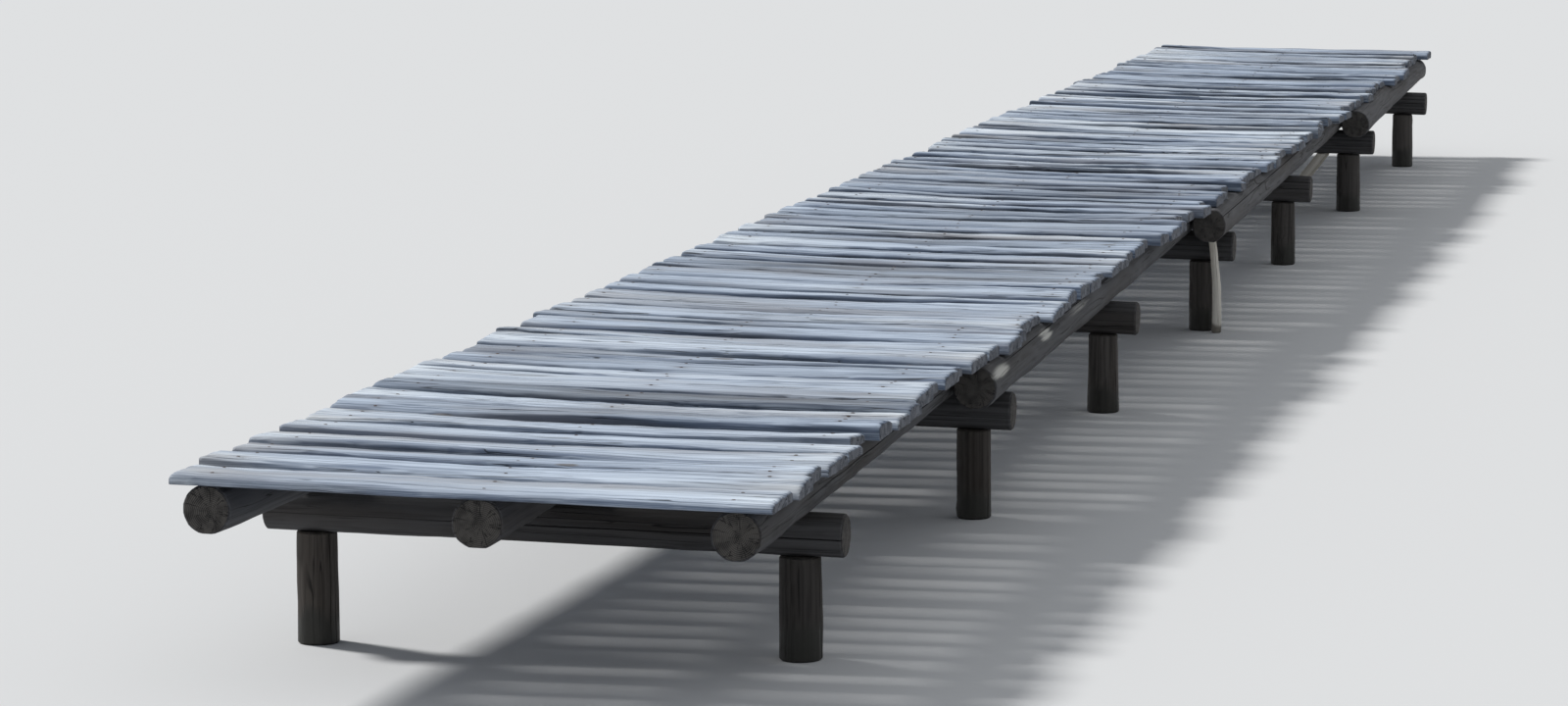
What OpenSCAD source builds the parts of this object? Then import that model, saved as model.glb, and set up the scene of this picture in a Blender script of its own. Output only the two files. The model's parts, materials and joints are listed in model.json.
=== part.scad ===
// Wooden jetty: rough cross boards on three lines of lapped log stringers, log caps and round piles.
// The origin lies on the water plane under the middle of the deck, and +Y leads away from the shore.

/* [Deck] */
// Length of the deck, from its shore end to its far end
deck_len = 19300; // [14000:100:24000]
// Width of the deck at the shore end
shore_w = 1880; // [1500:10:2400]
// Width of the deck at the far end
far_w = 1760; // [1500:10:2400]
// Height of the deck's top above the water plane, along its middle
deck_h = 686; // [500:1:1200]
// Sideways lean of the deck and its frame, in degrees, with the right side low
lean = 1.2; // [0:0.1:3]

/* [Boards] */
// Mean distance from one cross board to the next
board_pitch = 250; // [180:5:300]
// Mean thickness of a board
board_t = 45; // [25:1:60]
// Most that a board is thicker or thinner than the mean
board_t_play = 11; // [0:1:12]
// Mean gap between two boards
board_gap = 20; // [12:1:30]
// Most that a gap is wider or narrower than the mean
gap_play = 11; // [0:1:11]
// Most that the joint between two boards lies off its even place
joint_play = 38; // [0:1:45]
// Most that one end of a joint lies ahead of the other, from its middle
slant_play = 17; // [0:1:20]
// Most that a board's left end stands out or falls short
ragged_left = 16; // [0:1:60]
// Most that a board's right end stands out or falls short
ragged_right = 36; // [0:1:60]
// How far the last board stands out on the right
last_board_out = 5; // [0:5:200]
// How far the boards just before it fall short on the right
far_short = 75; // [0:5:90]

/* [Stringers] */
// Diameter of a stringer log
log_d = 165; // [140:1:200]
// Depth hewn off the top and off the bottom of a stringer log
log_hewn = 7.5; // [3:0.5:20]
// How far a log runs past the bent where it laps the next one
lap = 480; // [200:10:700]
// Clearance between two lapped logs
lap_clear = 5; // [3:1:20]
// How far the stringers stop short of the ends of the deck
end_in = 40; // [20:5:150]

/* [Bents] */
// Number of bays from the first bent to the last
bays = 6; // [4:2:8]
// Distance from an end of the deck to the nearest bent
overhang = 1010; // [600:10:1400]
// Distance from the board ends in to the line of the piles
pile_inset = 110; // [90:5:200]
// Diameter of a pile
pile_d = 140; // [100:1:160]
// Most that a pile is thicker or thinner than the mean
pile_d_play = 8; // [0:1:12]
// Diameter of a cap log
cap_d = 155; // [130:1:200]
// Depth hewn off the top and off the bottom of a cap log
cap_hewn = 7.5; // [3:0.5:20]
// How far a cap log runs past the axis of the outer stringer on it
cap_over = 70; // [50:5:150]

/* [Poles] */
// Diameter of the slender prop under the right stringer
prop_d = 48; // [30:1:70]
// Clearance between the prop and the cap beside it
prop_clear = 8; // [5:1:40]
// How far the prop's head stands in from the axis of the log on it
prop_in = 34; // [0:1:40]
// How far the prop's foot stands out from its head
prop_out = 25; // [0:5:80]
// Diameter of the raking strut
strut_d = 70; // [40:1:100]
// Rake of the strut from plumb, in degrees
strut_rake = 38; // [20:1:50]
// Clearance between the head of the strut and the pile beside it
strut_clear = 15; // [5:1:60]

/* [Hidden] */
$fn = 48;
bents = bays + 1;
bay = (deck_len - 2 * overhang) / bays;
logs = bays / 2 + 1;
groups = bays + 1;
boards = round(deck_len / board_pitch);

// Heights of the logs between their hewn faces
log_h = log_d - 2 * log_hewn;
cap_h = cap_d - 2 * cap_hewn;

// Levels in the leaning frame, from the deck down
board_z = deck_h - board_t;
log_z = board_z - log_h;
cap_z = log_z - cap_h;

// Pile line, and the distance between the axes of two lapped logs
pile_x = (shore_w + far_w) / 4 - pile_inset;
lap_x = log_d + lap_clear;
slant = lap_x / (2 * bay);

// Bents that carry the prop and the strut
prop_bent = bays / 2 + 1;
strut_bent = bays;

// Room around a cutting block
big = 3 * (deck_len + shore_w + far_w);

// The unevenness of the timber, as fixed draws from -1 to 1
joint_draw = rands(-1, 1, boards + 1, 284209);
slant_draw = rands(-1, 1, boards + 1, 23);
gap_draw_left = rands(-1, 1, boards + 1, 37);
gap_draw_right = rands(-1, 1, boards + 1, 41);
end_draw_left = rands(-1, 1, boards, 53);
end_draw_right = rands(-1, 1, boards, 67);
thick_draw = rands(-1, 1, boards, 4864);
pile_draw = rands(-1, 1, 2 * bents, 83);

// Place of a bent along the jetty, the first one nearest the shore
function bent_y(i) = -deck_len / 2 + overhang + (i - 1) * bay;

// Share of the shortfall on the right: it grows over the five boards before the last one, which has none
function short_share(i) = i == boards - 1 ? 0 : max(0, (i - boards + 7) / 5);

// Half the deck's width at a place along it
function half_w(y) = (shore_w + (far_w - shore_w) * (y / deck_len + 0.5)) / 2;

// A board end's distance from the middle: the deck's edge with the end's own play
function end_x(y, play) = half_w(y) + play;

// 1 at a joint between two boards, 0 at both ends of the deck
function inner(i) = i > 0 && i < boards ? 1 : 0;

// The middle of a joint, its lead at one end, and half its gap
function joint_y(i) = -deck_len / 2 + i * deck_len / boards + inner(i) * joint_play * joint_draw[i];
function lead(i) = inner(i) * slant_play * slant_draw[i];
function half_gap(i, draws) = inner(i) * (board_gap + gap_play * draws[i]) / 2;

// The axis of log k in a line: on the outer side at its first bent, on the inner side at its second
function log_x(k, y) = lap_x / 2 - slant * (y - bent_y(2 * (k - 1)));
function log_start(k) = k == 1 ? -deck_len / 2 + end_in : bent_y(2 * (k - 1)) - lap;
function log_end(k) = k == logs ? deck_len / 2 - end_in : bent_y(2 * k) + lap;

// The frame in which the caps, the stringers and the boards lean together
module leaning() {
    translate([0, 0, deck_h]) rotate([0, lean, 0]) translate([0, 0, -deck_h]) children();
}

// Everything between the water plane and a level of the leaning frame
module room_under(z) {
    intersection() {
        translate([-big / 2, -big / 2, 0]) cube(big);
        leaning() translate([-big / 2, -big / 2, z - big]) cube(big);
    }
}

// A log along Y, centred on its axis, hewn flat above and below
module hewn_log(d, h, len) {
    intersection() {
        rotate([90, 0, 0]) cylinder(d = d, h = len, center = true);
        cube([2 * d, 2 * len, h], center = true);
    }
}

module pile(i, side) {
    d = pile_d + pile_d_play * pile_draw[2 * (i - 1) + (side + 1) / 2];
    color("dimgray")
    intersection() {
        translate([side * pile_x, bent_y(i), 0]) cylinder(d = d, h = 2 * deck_h);
        room_under(cap_z);
    }
}

module cap(i) {
    color("gray")
    leaning()
    translate([0, bent_y(i), cap_z + cap_h / 2])
    rotate([0, 0, 90])
    hewn_log(cap_d, cap_h, 2 * (pile_x + lap_x / 2 + cap_over));
}

module stringer(k, line_x, side) {
    y0 = log_start(k);
    y1 = log_end(k);
    mid = (y0 + y1) / 2;
    turn = atan(slant);
    color("slategray")
    leaning()
    translate([line_x + side * log_x(k, mid), mid, log_z + log_h / 2])
    rotate([0, 0, side * turn])
    hewn_log(log_d, log_h, (y1 - y0) / cos(turn));
}

module board(i) {
    y = (i + 0.5) * deck_len / boards - deck_len / 2;
    last = i == boards - 1;
    left = -end_x(y, ragged_left * end_draw_left[i]);
    right = end_x(y, last ? last_board_out : ragged_right * end_draw_right[i] - far_short * short_share(i));
    translate([0, 0, board_z])
    linear_extrude(board_t + board_t_play * thick_draw[i])
    polygon([
        [left, joint_y(i) + lead(i) + half_gap(i, gap_draw_left)],
        [right, joint_y(i) - lead(i) + half_gap(i, gap_draw_right)],
        [right, joint_y(i + 1) - lead(i + 1) - half_gap(i + 1, gap_draw_right)],
        [left, joint_y(i + 1) + lead(i + 1) - half_gap(i + 1, gap_draw_left)]
    ]);
}

module deck(g) {
    color("silver")
    leaning()
    for (i = [floor((g - 1) * boards / groups) : floor(g * boards / groups) - 1]) board(i);
}

module prop_pole() {
    y = bent_y(prop_bent) - cap_d / 2 - prop_clear - prop_d / 2;
    head_x = pile_x + log_x(floor(prop_bent / 2) + 1, y) - prop_in;
    tilt = atan(prop_out / log_z);
    color("gainsboro")
    intersection() {
        translate([head_x + prop_out, y, 0])
        rotate([0, -tilt, 0])
        cylinder(d = prop_d, h = 4 * deck_h, center = true);
        room_under(log_z);
    }
}

module rake_strut() {
    half_cut = strut_d / 2 / cos(strut_rake);
    head_x = pile_x - (pile_d + pile_d_play) / 2 - strut_clear - half_cut;
    foot_x = head_x - cap_z * tan(strut_rake);
    color("darkgray")
    intersection() {
        translate([foot_x, bent_y(strut_bent), 0])
        rotate([0, strut_rake, 0])
        cylinder(d = strut_d, h = 6 * deck_h, center = true);
        room_under(cap_z);
    }
}

for (i = [1:bents]) pile(i, -1);
for (i = [1:bents]) pile(i, 1);
for (i = [1:bents]) cap(i);
for (k = [1:logs]) stringer(k, -pile_x, -1);
for (k = [1:logs]) stringer(k, 0, 1);
for (k = [1:logs]) stringer(k, pile_x, 1);
for (g = [1:groups]) deck(g);
prop_pole();
rake_strut();
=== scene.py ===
"""Looks of a weathered wooden jetty: cross boards on lapped log stringers, log caps and piles.

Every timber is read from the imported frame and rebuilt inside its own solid, so no size is written twice.
Lengths are metres. The caps, the stringers and the boards share one frame that leans sideways.
"""

import json
import logging
import math
from dataclasses import dataclass
from enum import Enum

import bpy
import numpy as np
from mathutils import Matrix, Vector

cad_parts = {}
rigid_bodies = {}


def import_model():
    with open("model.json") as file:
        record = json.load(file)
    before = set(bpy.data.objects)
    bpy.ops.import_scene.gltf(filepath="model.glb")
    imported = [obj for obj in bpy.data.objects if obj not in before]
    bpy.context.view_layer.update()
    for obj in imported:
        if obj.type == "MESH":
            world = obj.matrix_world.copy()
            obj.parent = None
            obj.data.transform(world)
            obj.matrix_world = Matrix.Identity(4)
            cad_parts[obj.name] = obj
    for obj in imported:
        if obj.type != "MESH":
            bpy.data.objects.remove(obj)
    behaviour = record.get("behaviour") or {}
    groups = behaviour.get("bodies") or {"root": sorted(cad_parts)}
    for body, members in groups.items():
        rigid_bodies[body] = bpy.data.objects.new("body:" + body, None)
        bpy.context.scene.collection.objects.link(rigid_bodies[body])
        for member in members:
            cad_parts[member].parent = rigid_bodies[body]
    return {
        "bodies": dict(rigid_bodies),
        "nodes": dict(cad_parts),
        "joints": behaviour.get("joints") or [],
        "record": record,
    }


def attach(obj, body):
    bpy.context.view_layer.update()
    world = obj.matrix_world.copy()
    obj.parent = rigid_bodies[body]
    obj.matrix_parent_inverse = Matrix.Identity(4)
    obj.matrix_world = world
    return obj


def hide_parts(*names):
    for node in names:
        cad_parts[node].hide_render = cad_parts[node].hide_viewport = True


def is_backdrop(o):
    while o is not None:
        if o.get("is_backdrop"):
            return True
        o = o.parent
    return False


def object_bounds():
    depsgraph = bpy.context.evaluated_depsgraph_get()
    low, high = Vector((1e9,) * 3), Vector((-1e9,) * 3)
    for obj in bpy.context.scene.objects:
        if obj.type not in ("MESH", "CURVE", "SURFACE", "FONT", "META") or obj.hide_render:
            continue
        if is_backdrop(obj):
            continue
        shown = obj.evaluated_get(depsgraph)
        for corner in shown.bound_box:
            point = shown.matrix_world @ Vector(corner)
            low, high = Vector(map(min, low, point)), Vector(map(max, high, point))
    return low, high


LOG = logging.getLogger("jetty")
BODY = "root"
TURN = 2 * math.pi

Array = np.ndarray
Owner = bpy.types.Material | bpy.types.World
Colour = tuple[float, float, float, float]
Triple = tuple[float, float, float]


class Slot(Enum):
    """The record's material slots."""

    BOARD = "deck_board"
    STRINGER = "stringer_log"
    CAP = "cap_log"
    PILE = "pile_log"
    POLE = "peeled_pole"


def linear(red: int, green: int, blue: int) -> Colour:
    """Turns a display colour into a scene colour.

    Args:
        red: Display red, 0 to 255.
        green: Display green, 0 to 255.
        blue: Display blue, 0 to 255.

    Returns:
        The scene-linear colour with full alpha, by the display's own curve.
    """
    def channel(value: int) -> float:
        """One channel of the curve."""
        part = value / 255.0
        return part / 12.92 if part <= 0.04045 else ((part + 0.055) / 1.055) ** 2.4

    return channel(red), channel(green), channel(blue), 1.0


def ramp(value: Array, start: float, end: float) -> Array:
    """A straight rise from 0 at the start to 1 at the end, level beyond both."""
    return np.clip((value - start) / (end - start), 0, 1)


def bell(*ratios: Array) -> Array:
    """A bell: e to the power of minus the sum of the squares."""
    return np.exp(-sum(ratio ** 2 for ratio in ratios))


def half_ellipse(place: Array, middle: float, half: float) -> Array:
    """A half ellipse of height 1 over a stretch, 0 beyond it."""
    return np.sqrt((1 - ((place - middle) / half) ** 2).clip(0, 1))


def waves(rng: np.random.Generator, shortest: float, longest: float, u: Array, v: Array | float = 0.0,
          count: int = 7) -> Array:
    """Smooth unevenness over one or two coordinates, roughly from -1 to 1.

    The formula is a sum of plane sine waves, each with its own random length, heading and phase.

    Args:
        rng: Source of the random numbers.
        shortest: Shortest wave.
        longest: Longest wave.
        u: First coordinate, in metres.
        v: Second coordinate, in metres, of a shape that combines with the first.
        count: Number of waves.

    Returns:
        The sum at every point.
    """
    total = np.zeros(np.broadcast(u, v).shape)
    lengths = rng.uniform(shortest, longest, count)
    headings = rng.uniform(0, math.pi, count)
    phases = rng.uniform(0, TURN, count)
    for length, heading, phase in zip(lengths, headings, phases):
        total = total + np.sin(TURN * (u * math.cos(heading) + v * math.sin(heading)) / length + phase)
    return total / math.sqrt(count)


@dataclass
class Surface:
    """A closed mesh under construction: points, faces of three or four corners, and values at the points."""

    points: Array
    faces: list[Array]
    values: dict[str, Array]

    @staticmethod
    def joined(parts: list["Surface"]) -> "Surface":
        """Joins several surfaces, which stay separate shells, into one.

        Args:
            parts: The surfaces, all with the same named values.

        Returns:
            One surface whose face numbers are shifted by the points before them.
        """
        starts = np.cumsum([0] + [len(p.points) for p in parts[:-1]])
        return Surface(
            np.concatenate([p.points for p in parts]),
            [f + start for p, start in zip(parts, starts) for f in p.faces],
            {k: np.concatenate([p.values[k] for p in parts]) for k in parts[0].values},
        )

    def piece(self, name: str, material: bpy.types.Material, crease: float = 38.0) -> bpy.types.Object:
        """Makes the surface a Blender object.

        Args:
            name: Name of the piece.
            material: Its finish.
            crease: Angle between faces, in degrees, past which an edge is sharp.

        Returns:
            The object, at the origin and linked into the scene.
        """
        mesh = bpy.data.meshes.new(name)
        mesh.vertices.add(len(self.points))
        mesh.vertices.foreach_set("co", self.points.astype(np.float32).ravel())
        corners = np.concatenate([f.ravel() for f in self.faces]).astype(np.int32)
        widths = np.concatenate([np.full(len(f), f.shape[1]) for f in self.faces])
        mesh.loops.add(len(corners))
        mesh.loops.foreach_set("vertex_index", corners)
        mesh.polygons.add(len(widths))
        mesh.polygons.foreach_set("loop_start", (np.cumsum(widths) - widths).astype(np.int32))
        mesh.update(calc_edges=True)
        for key, value in self.values.items():
            kind, slot = ("FLOAT_VECTOR", "vector") if value.ndim == 2 else ("FLOAT", "value")
            mesh.attributes.new(key, kind, "POINT").data.foreach_set(slot, value.astype(np.float32).ravel())
        mesh.shade_smooth()
        mesh.set_sharp_from_angle(angle=math.radians(crease))
        mesh.materials.append(material)
        obj = bpy.data.objects.new(name, mesh)
        bpy.context.scene.collection.objects.link(obj)
        return obj


def tube_faces(stations: int, around: int) -> Array:
    """Faces of a grid that closes on itself across.

    Args:
        stations: Rows of points along the tube.
        around: Points in each row, in an order that turns clockwise when seen along the rows.

    Returns:
        Corner numbers of the faces, which point outwards.
    """
    row, col = np.meshgrid(np.arange(stations - 1), np.arange(around), indexing="ij")
    a, b = row * around + col, row * around + (col + 1) % around
    return np.stack([a, b, b + around, a + around], -1).reshape(-1, 4)


@dataclass(frozen=True)
class LeaningFrame:
    """The frame of the deck: the row frame turned about the long axis by the lean, right side low."""

    lean: float

    @property
    def turn(self) -> Array:
        """The matrix that takes points, as rows, from the row frame into this one."""
        c, s = math.cos(self.lean), math.sin(self.lean)
        return np.array([[c, 0, s], [0, 1, 0], [-s, 0, c]])

    @property
    def up(self) -> Array:
        """This frame's own upward direction, in the row frame."""
        return self.outside(np.array([[0.0, 0.0, 1.0]]))[0]

    def inside(self, points: Array) -> Array:
        """Row frame to leaning frame."""
        return points @ self.turn

    def outside(self, points: Array) -> Array:
        """Leaning frame to row frame."""
        return points @ self.turn.T

    @staticmethod
    def of_cap(cap: bpy.types.Object) -> "LeaningFrame":
        """Reads the lean from a cap log, whose two ends lie at different heights.

        Args:
            cap: A cap's node.

        Returns:
            The frame, its lean positive when the right side is low.
        """
        corners = solids_of(cap)[0]
        on_left = corners[:, 0] < corners[:, 0].mean()
        left, right = corners[on_left].mean(axis=0), corners[~on_left].mean(axis=0)
        return LeaningFrame(math.atan2(left[2] - right[2], right[0] - left[0]))


def solids_of(node: bpy.types.Object) -> list[Array]:
    """Splits a frame node into its separate solids.

    Corners at one place count as one, and a label spreads over each face until it settles.

    Args:
        node: The frame's object.

    Returns:
        The corners of each solid, in the row frame.
    """
    mesh = node.data
    mesh.calc_loop_triangles()
    places = np.empty(len(mesh.vertices) * 3, np.float32)
    mesh.vertices.foreach_get("co", places)
    corners = np.empty(len(mesh.loop_triangles) * 3, np.int32)
    mesh.loop_triangles.foreach_get("vertices", corners)
    unique, same = np.unique(places.reshape(-1, 3).round(5), axis=0, return_inverse=True)
    faces = same.ravel()[corners].reshape(-1, 3)
    label = np.arange(len(unique))
    while True:
        spread = label.copy()
        np.minimum.at(spread, faces.ravel(), np.repeat(label[faces].min(axis=1), 3))
        if (spread == label).all():
            return [unique[label == k].astype(float) for k in np.unique(label)]
        label = spread


@dataclass(frozen=True)
class Block:
    """A board's own solid in the leaning frame: its ends, its edges at each end, its underside and top."""

    left: float
    right: float
    near: tuple[float, float]
    far: tuple[float, float]
    bottom: float
    top: float

    @staticmethod
    def of(corners: Array) -> "Block":
        """Reads the block from its solid.

        Args:
            corners: The eight corners, in the leaning frame.

        Returns:
            The block.
        """
        on_left = corners[:, 0] < corners[:, 0].mean()
        left, right = corners[on_left], corners[~on_left]
        return Block(
            left[:, 0].mean(), right[:, 0].mean(),
            (left[:, 1].min(), right[:, 1].min()), (left[:, 1].max(), right[:, 1].max()),
            corners[:, 2].min(), corners[:, 2].max(),
        )


@dataclass(frozen=True)
class Stick:
    """A round timber's own solid in the row frame: axis, radius and, where it is hewn, half height."""

    start: Array
    end: Array
    radius: float
    half_height: float | None = None
    ON_WATER = 1e-4
    SAME = 1e-6

    @property
    def length(self) -> float:
        """Length of the axis."""
        return float(np.linalg.norm(self.end - self.start))

    @staticmethod
    def middle_of(corners: Array) -> Array:
        """The middle of the box round some corners."""
        return (corners.min(axis=0) + corners.max(axis=0)) / 2

    @staticmethod
    def of_log(corners: Array, frame: LeaningFrame) -> "Stick":
        """Reads a hewn log from its solid's corners.

        The corners of each square-cut end lie about the axis, so their middle is the axis's end.

        Args:
            corners: The corners, in the row frame.
            frame: The frame in which the log lies level.

        Returns:
            The log, its start being the end with the lower X or Y.
        """
        level = frame.inside(corners)
        along = level[:, int(np.argmax(np.ptp(level, axis=0)))]
        middle = np.median(along)
        first = Stick.middle_of(level[along < middle + Stick.SAME])
        axis = Stick.middle_of(level[along > middle - Stick.SAME]) - first
        axis[2] = 0.0
        axis /= np.linalg.norm(axis)
        across = np.array([-axis[1], axis[0], 0.0])
        along = (level - first) @ axis
        ends = frame.outside(np.array([first + axis * along.min(), first + axis * along.max()]))
        return Stick(*ends, np.abs((level - first) @ across).max(), float(np.ptp(level[:, 2]) / 2))

    @staticmethod
    def of_pole(corners: Array) -> "Stick":
        """Reads a pole between the water plane and a slanting cut from its solid's corners.

        The ellipse of each cut has its middle on the axis, and its extent across the lean is the diameter.

        Args:
            corners: The corners, in the row frame.

        Returns:
            The pole, from its foot to its head.
        """
        wet = corners[:, 2] < Stick.ON_WATER
        radius = float(np.ptp(corners[wet][:, 1]) / 2)
        return Stick(Stick.middle_of(corners[wet]), Stick.middle_of(corners[~wet]), radius)


@dataclass(frozen=True)
class Field:
    """One output of a node, which takes part in arithmetic: every operator adds a Math node."""

    graph: "Graph"
    socket: bpy.types.NodeSocket

    def __add__(self, other: "Field | float") -> "Field":
        """Sum."""
        return self.graph.math("ADD", self, other)

    def __sub__(self, other: "Field | float") -> "Field":
        """Difference."""
        return self.graph.math("SUBTRACT", self, other)

    def __rsub__(self, other: float) -> "Field":
        """Difference from a number."""
        return self.graph.math("SUBTRACT", other, self)

    def __mul__(self, other: "Field | float") -> "Field":
        """Product."""
        return self.graph.math("MULTIPLY", self, other)

    def __truediv__(self, other: "Field | float") -> "Field":
        """Quotient."""
        return self.graph.math("DIVIDE", self, other)

    def __abs__(self) -> "Field":
        """Size without its sign."""
        return self.graph.math("ABSOLUTE", self)

    def output(self, key: int | str) -> "Field":
        """Another output of the same node."""
        return Field(self.graph, self.socket.node.outputs[key])


class Graph:
    """A short way to write the nodes of a material or of the world."""

    def __init__(self, owner: Owner) -> None:
        """Empties the owner's node tree.

        Args:
            owner: The material or world.
        """
        owner.use_nodes = True
        self.owner = owner
        self.tree = owner.node_tree
        self.tree.nodes.clear()

    def add(self, kind: str, inputs: dict | None = None, output: int | str = 0, **settings: object) -> Field:
        """Adds a node.

        Args:
            kind: Node type, without its ShaderNode prefix.
            inputs: Input name or number to a value or to a field.
            output: Name or number of the output to take.
            settings: Properties of the node.

        Returns:
            The field at that output.
        """
        node = self.tree.nodes.new("ShaderNode" + kind)
        for key, value in settings.items():
            setattr(node, key, value)
        for key, value in (inputs or {}).items():
            if isinstance(value, Field):
                self.tree.links.new(value.socket, node.inputs[key])
            else:
                node.inputs[key].default_value = value
        return Field(self, node.outputs[output])

    def close(self, kind: str, inputs: dict) -> Owner:
        """Adds the last node, a shader, and links it to the tree's output.

        Args:
            kind: The shader's type, without its ShaderNode prefix.
            inputs: Its inputs.

        Returns:
            The owner of the finished tree.
        """
        output = "OutputWorld" if isinstance(self.owner, bpy.types.World) else "OutputMaterial"
        surface = self.tree.nodes.new("ShaderNode" + output).inputs["Surface"]
        self.tree.links.new(self.add(kind, inputs).socket, surface)
        return self.owner

    def value_of(self, name: str, output: str = "Fac") -> Field:
        """A mesh value."""
        return self.add("Attribute", output=output, attribute_name=name)

    def place(self) -> Field:
        """The place on the object, in metres."""
        return self.add("TexCoord", output="Object")

    def math(self, operation: str, *terms: Field | float, clamp: bool = False) -> Field:
        """Arithmetic on one or two terms."""
        return self.add("Math", dict(enumerate(terms)), operation=operation, use_clamp=clamp)

    def scaled(self, vector: Field, scale: Triple) -> Field:
        """A vector times a fixed scale on each axis."""
        return self.add("VectorMath", {0: vector, 1: scale}, operation="MULTIPLY")

    def noise(self, vector: Field, scale: Triple, detail: float = 3.0, roughness: float = 0.55) -> Field:
        """Noise from 0 to 1 with its own scale on each axis."""
        return self.add("TexNoise", {"Vector": self.scaled(vector, scale), "Scale": 1.0, "Detail": detail,
                                     "Roughness": roughness})

    def ramp(self, value: Field, low: float, high: float, start: float = 0.0, end: float = 1.0) -> Field:
        """A smooth step: start up to low, end from high on."""
        inputs = {"Value": value, "From Min": low, "From Max": high, "To Min": start, "To Max": end}
        return self.add("MapRange", inputs, interpolation_type="SMOOTHSTEP")

    def mix(self, factor: Field | float, first: Field | Colour, second: Field | Colour,
            blend: str = "MIX") -> Field:
        """A mix of two colours."""
        return self.add("Mix", {0: factor, 6: first, 7: second}, 2, data_type="RGBA", blend_type=blend)


@dataclass(frozen=True)
class WoodFinish:
    """Weathered timber: its colours, and how strongly it is marked.

    The mesh carries grain, a place along and across the stick in metres; tone, its brightness, one random
    number for each stick with bleached and trodden places and, towards the deck's far end, a painted sheen
    added; edge, up to 0.8 at worn arrises and ends and 1 where dirt is packed, and on the boards' waney
    edges at the joints partly dirt and partly painted shade; and stain, 1 round its rusty nails, and on a
    stringer in pale patches of painted light.
    """

    name: str
    light: Colour
    dark: Colour
    warm: Colour
    grime_and_shade: Colour
    end: Colour
    axis: Triple
    tone_spread: float = 0.3
    warmth: float = 0.4
    grime_and_shade_amount: float = 0.8
    relief: float = 0.0012
    wet_to: float = 0.0
    stain_and_light_from: float = 0.0
    stain: Colour = linear(84, 70, 62)
    wet: Colour = linear(40, 41, 34)

    def material(self) -> bpy.types.Material:
        """Builds the finish."""
        return WoodGraph(self).finished()


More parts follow.
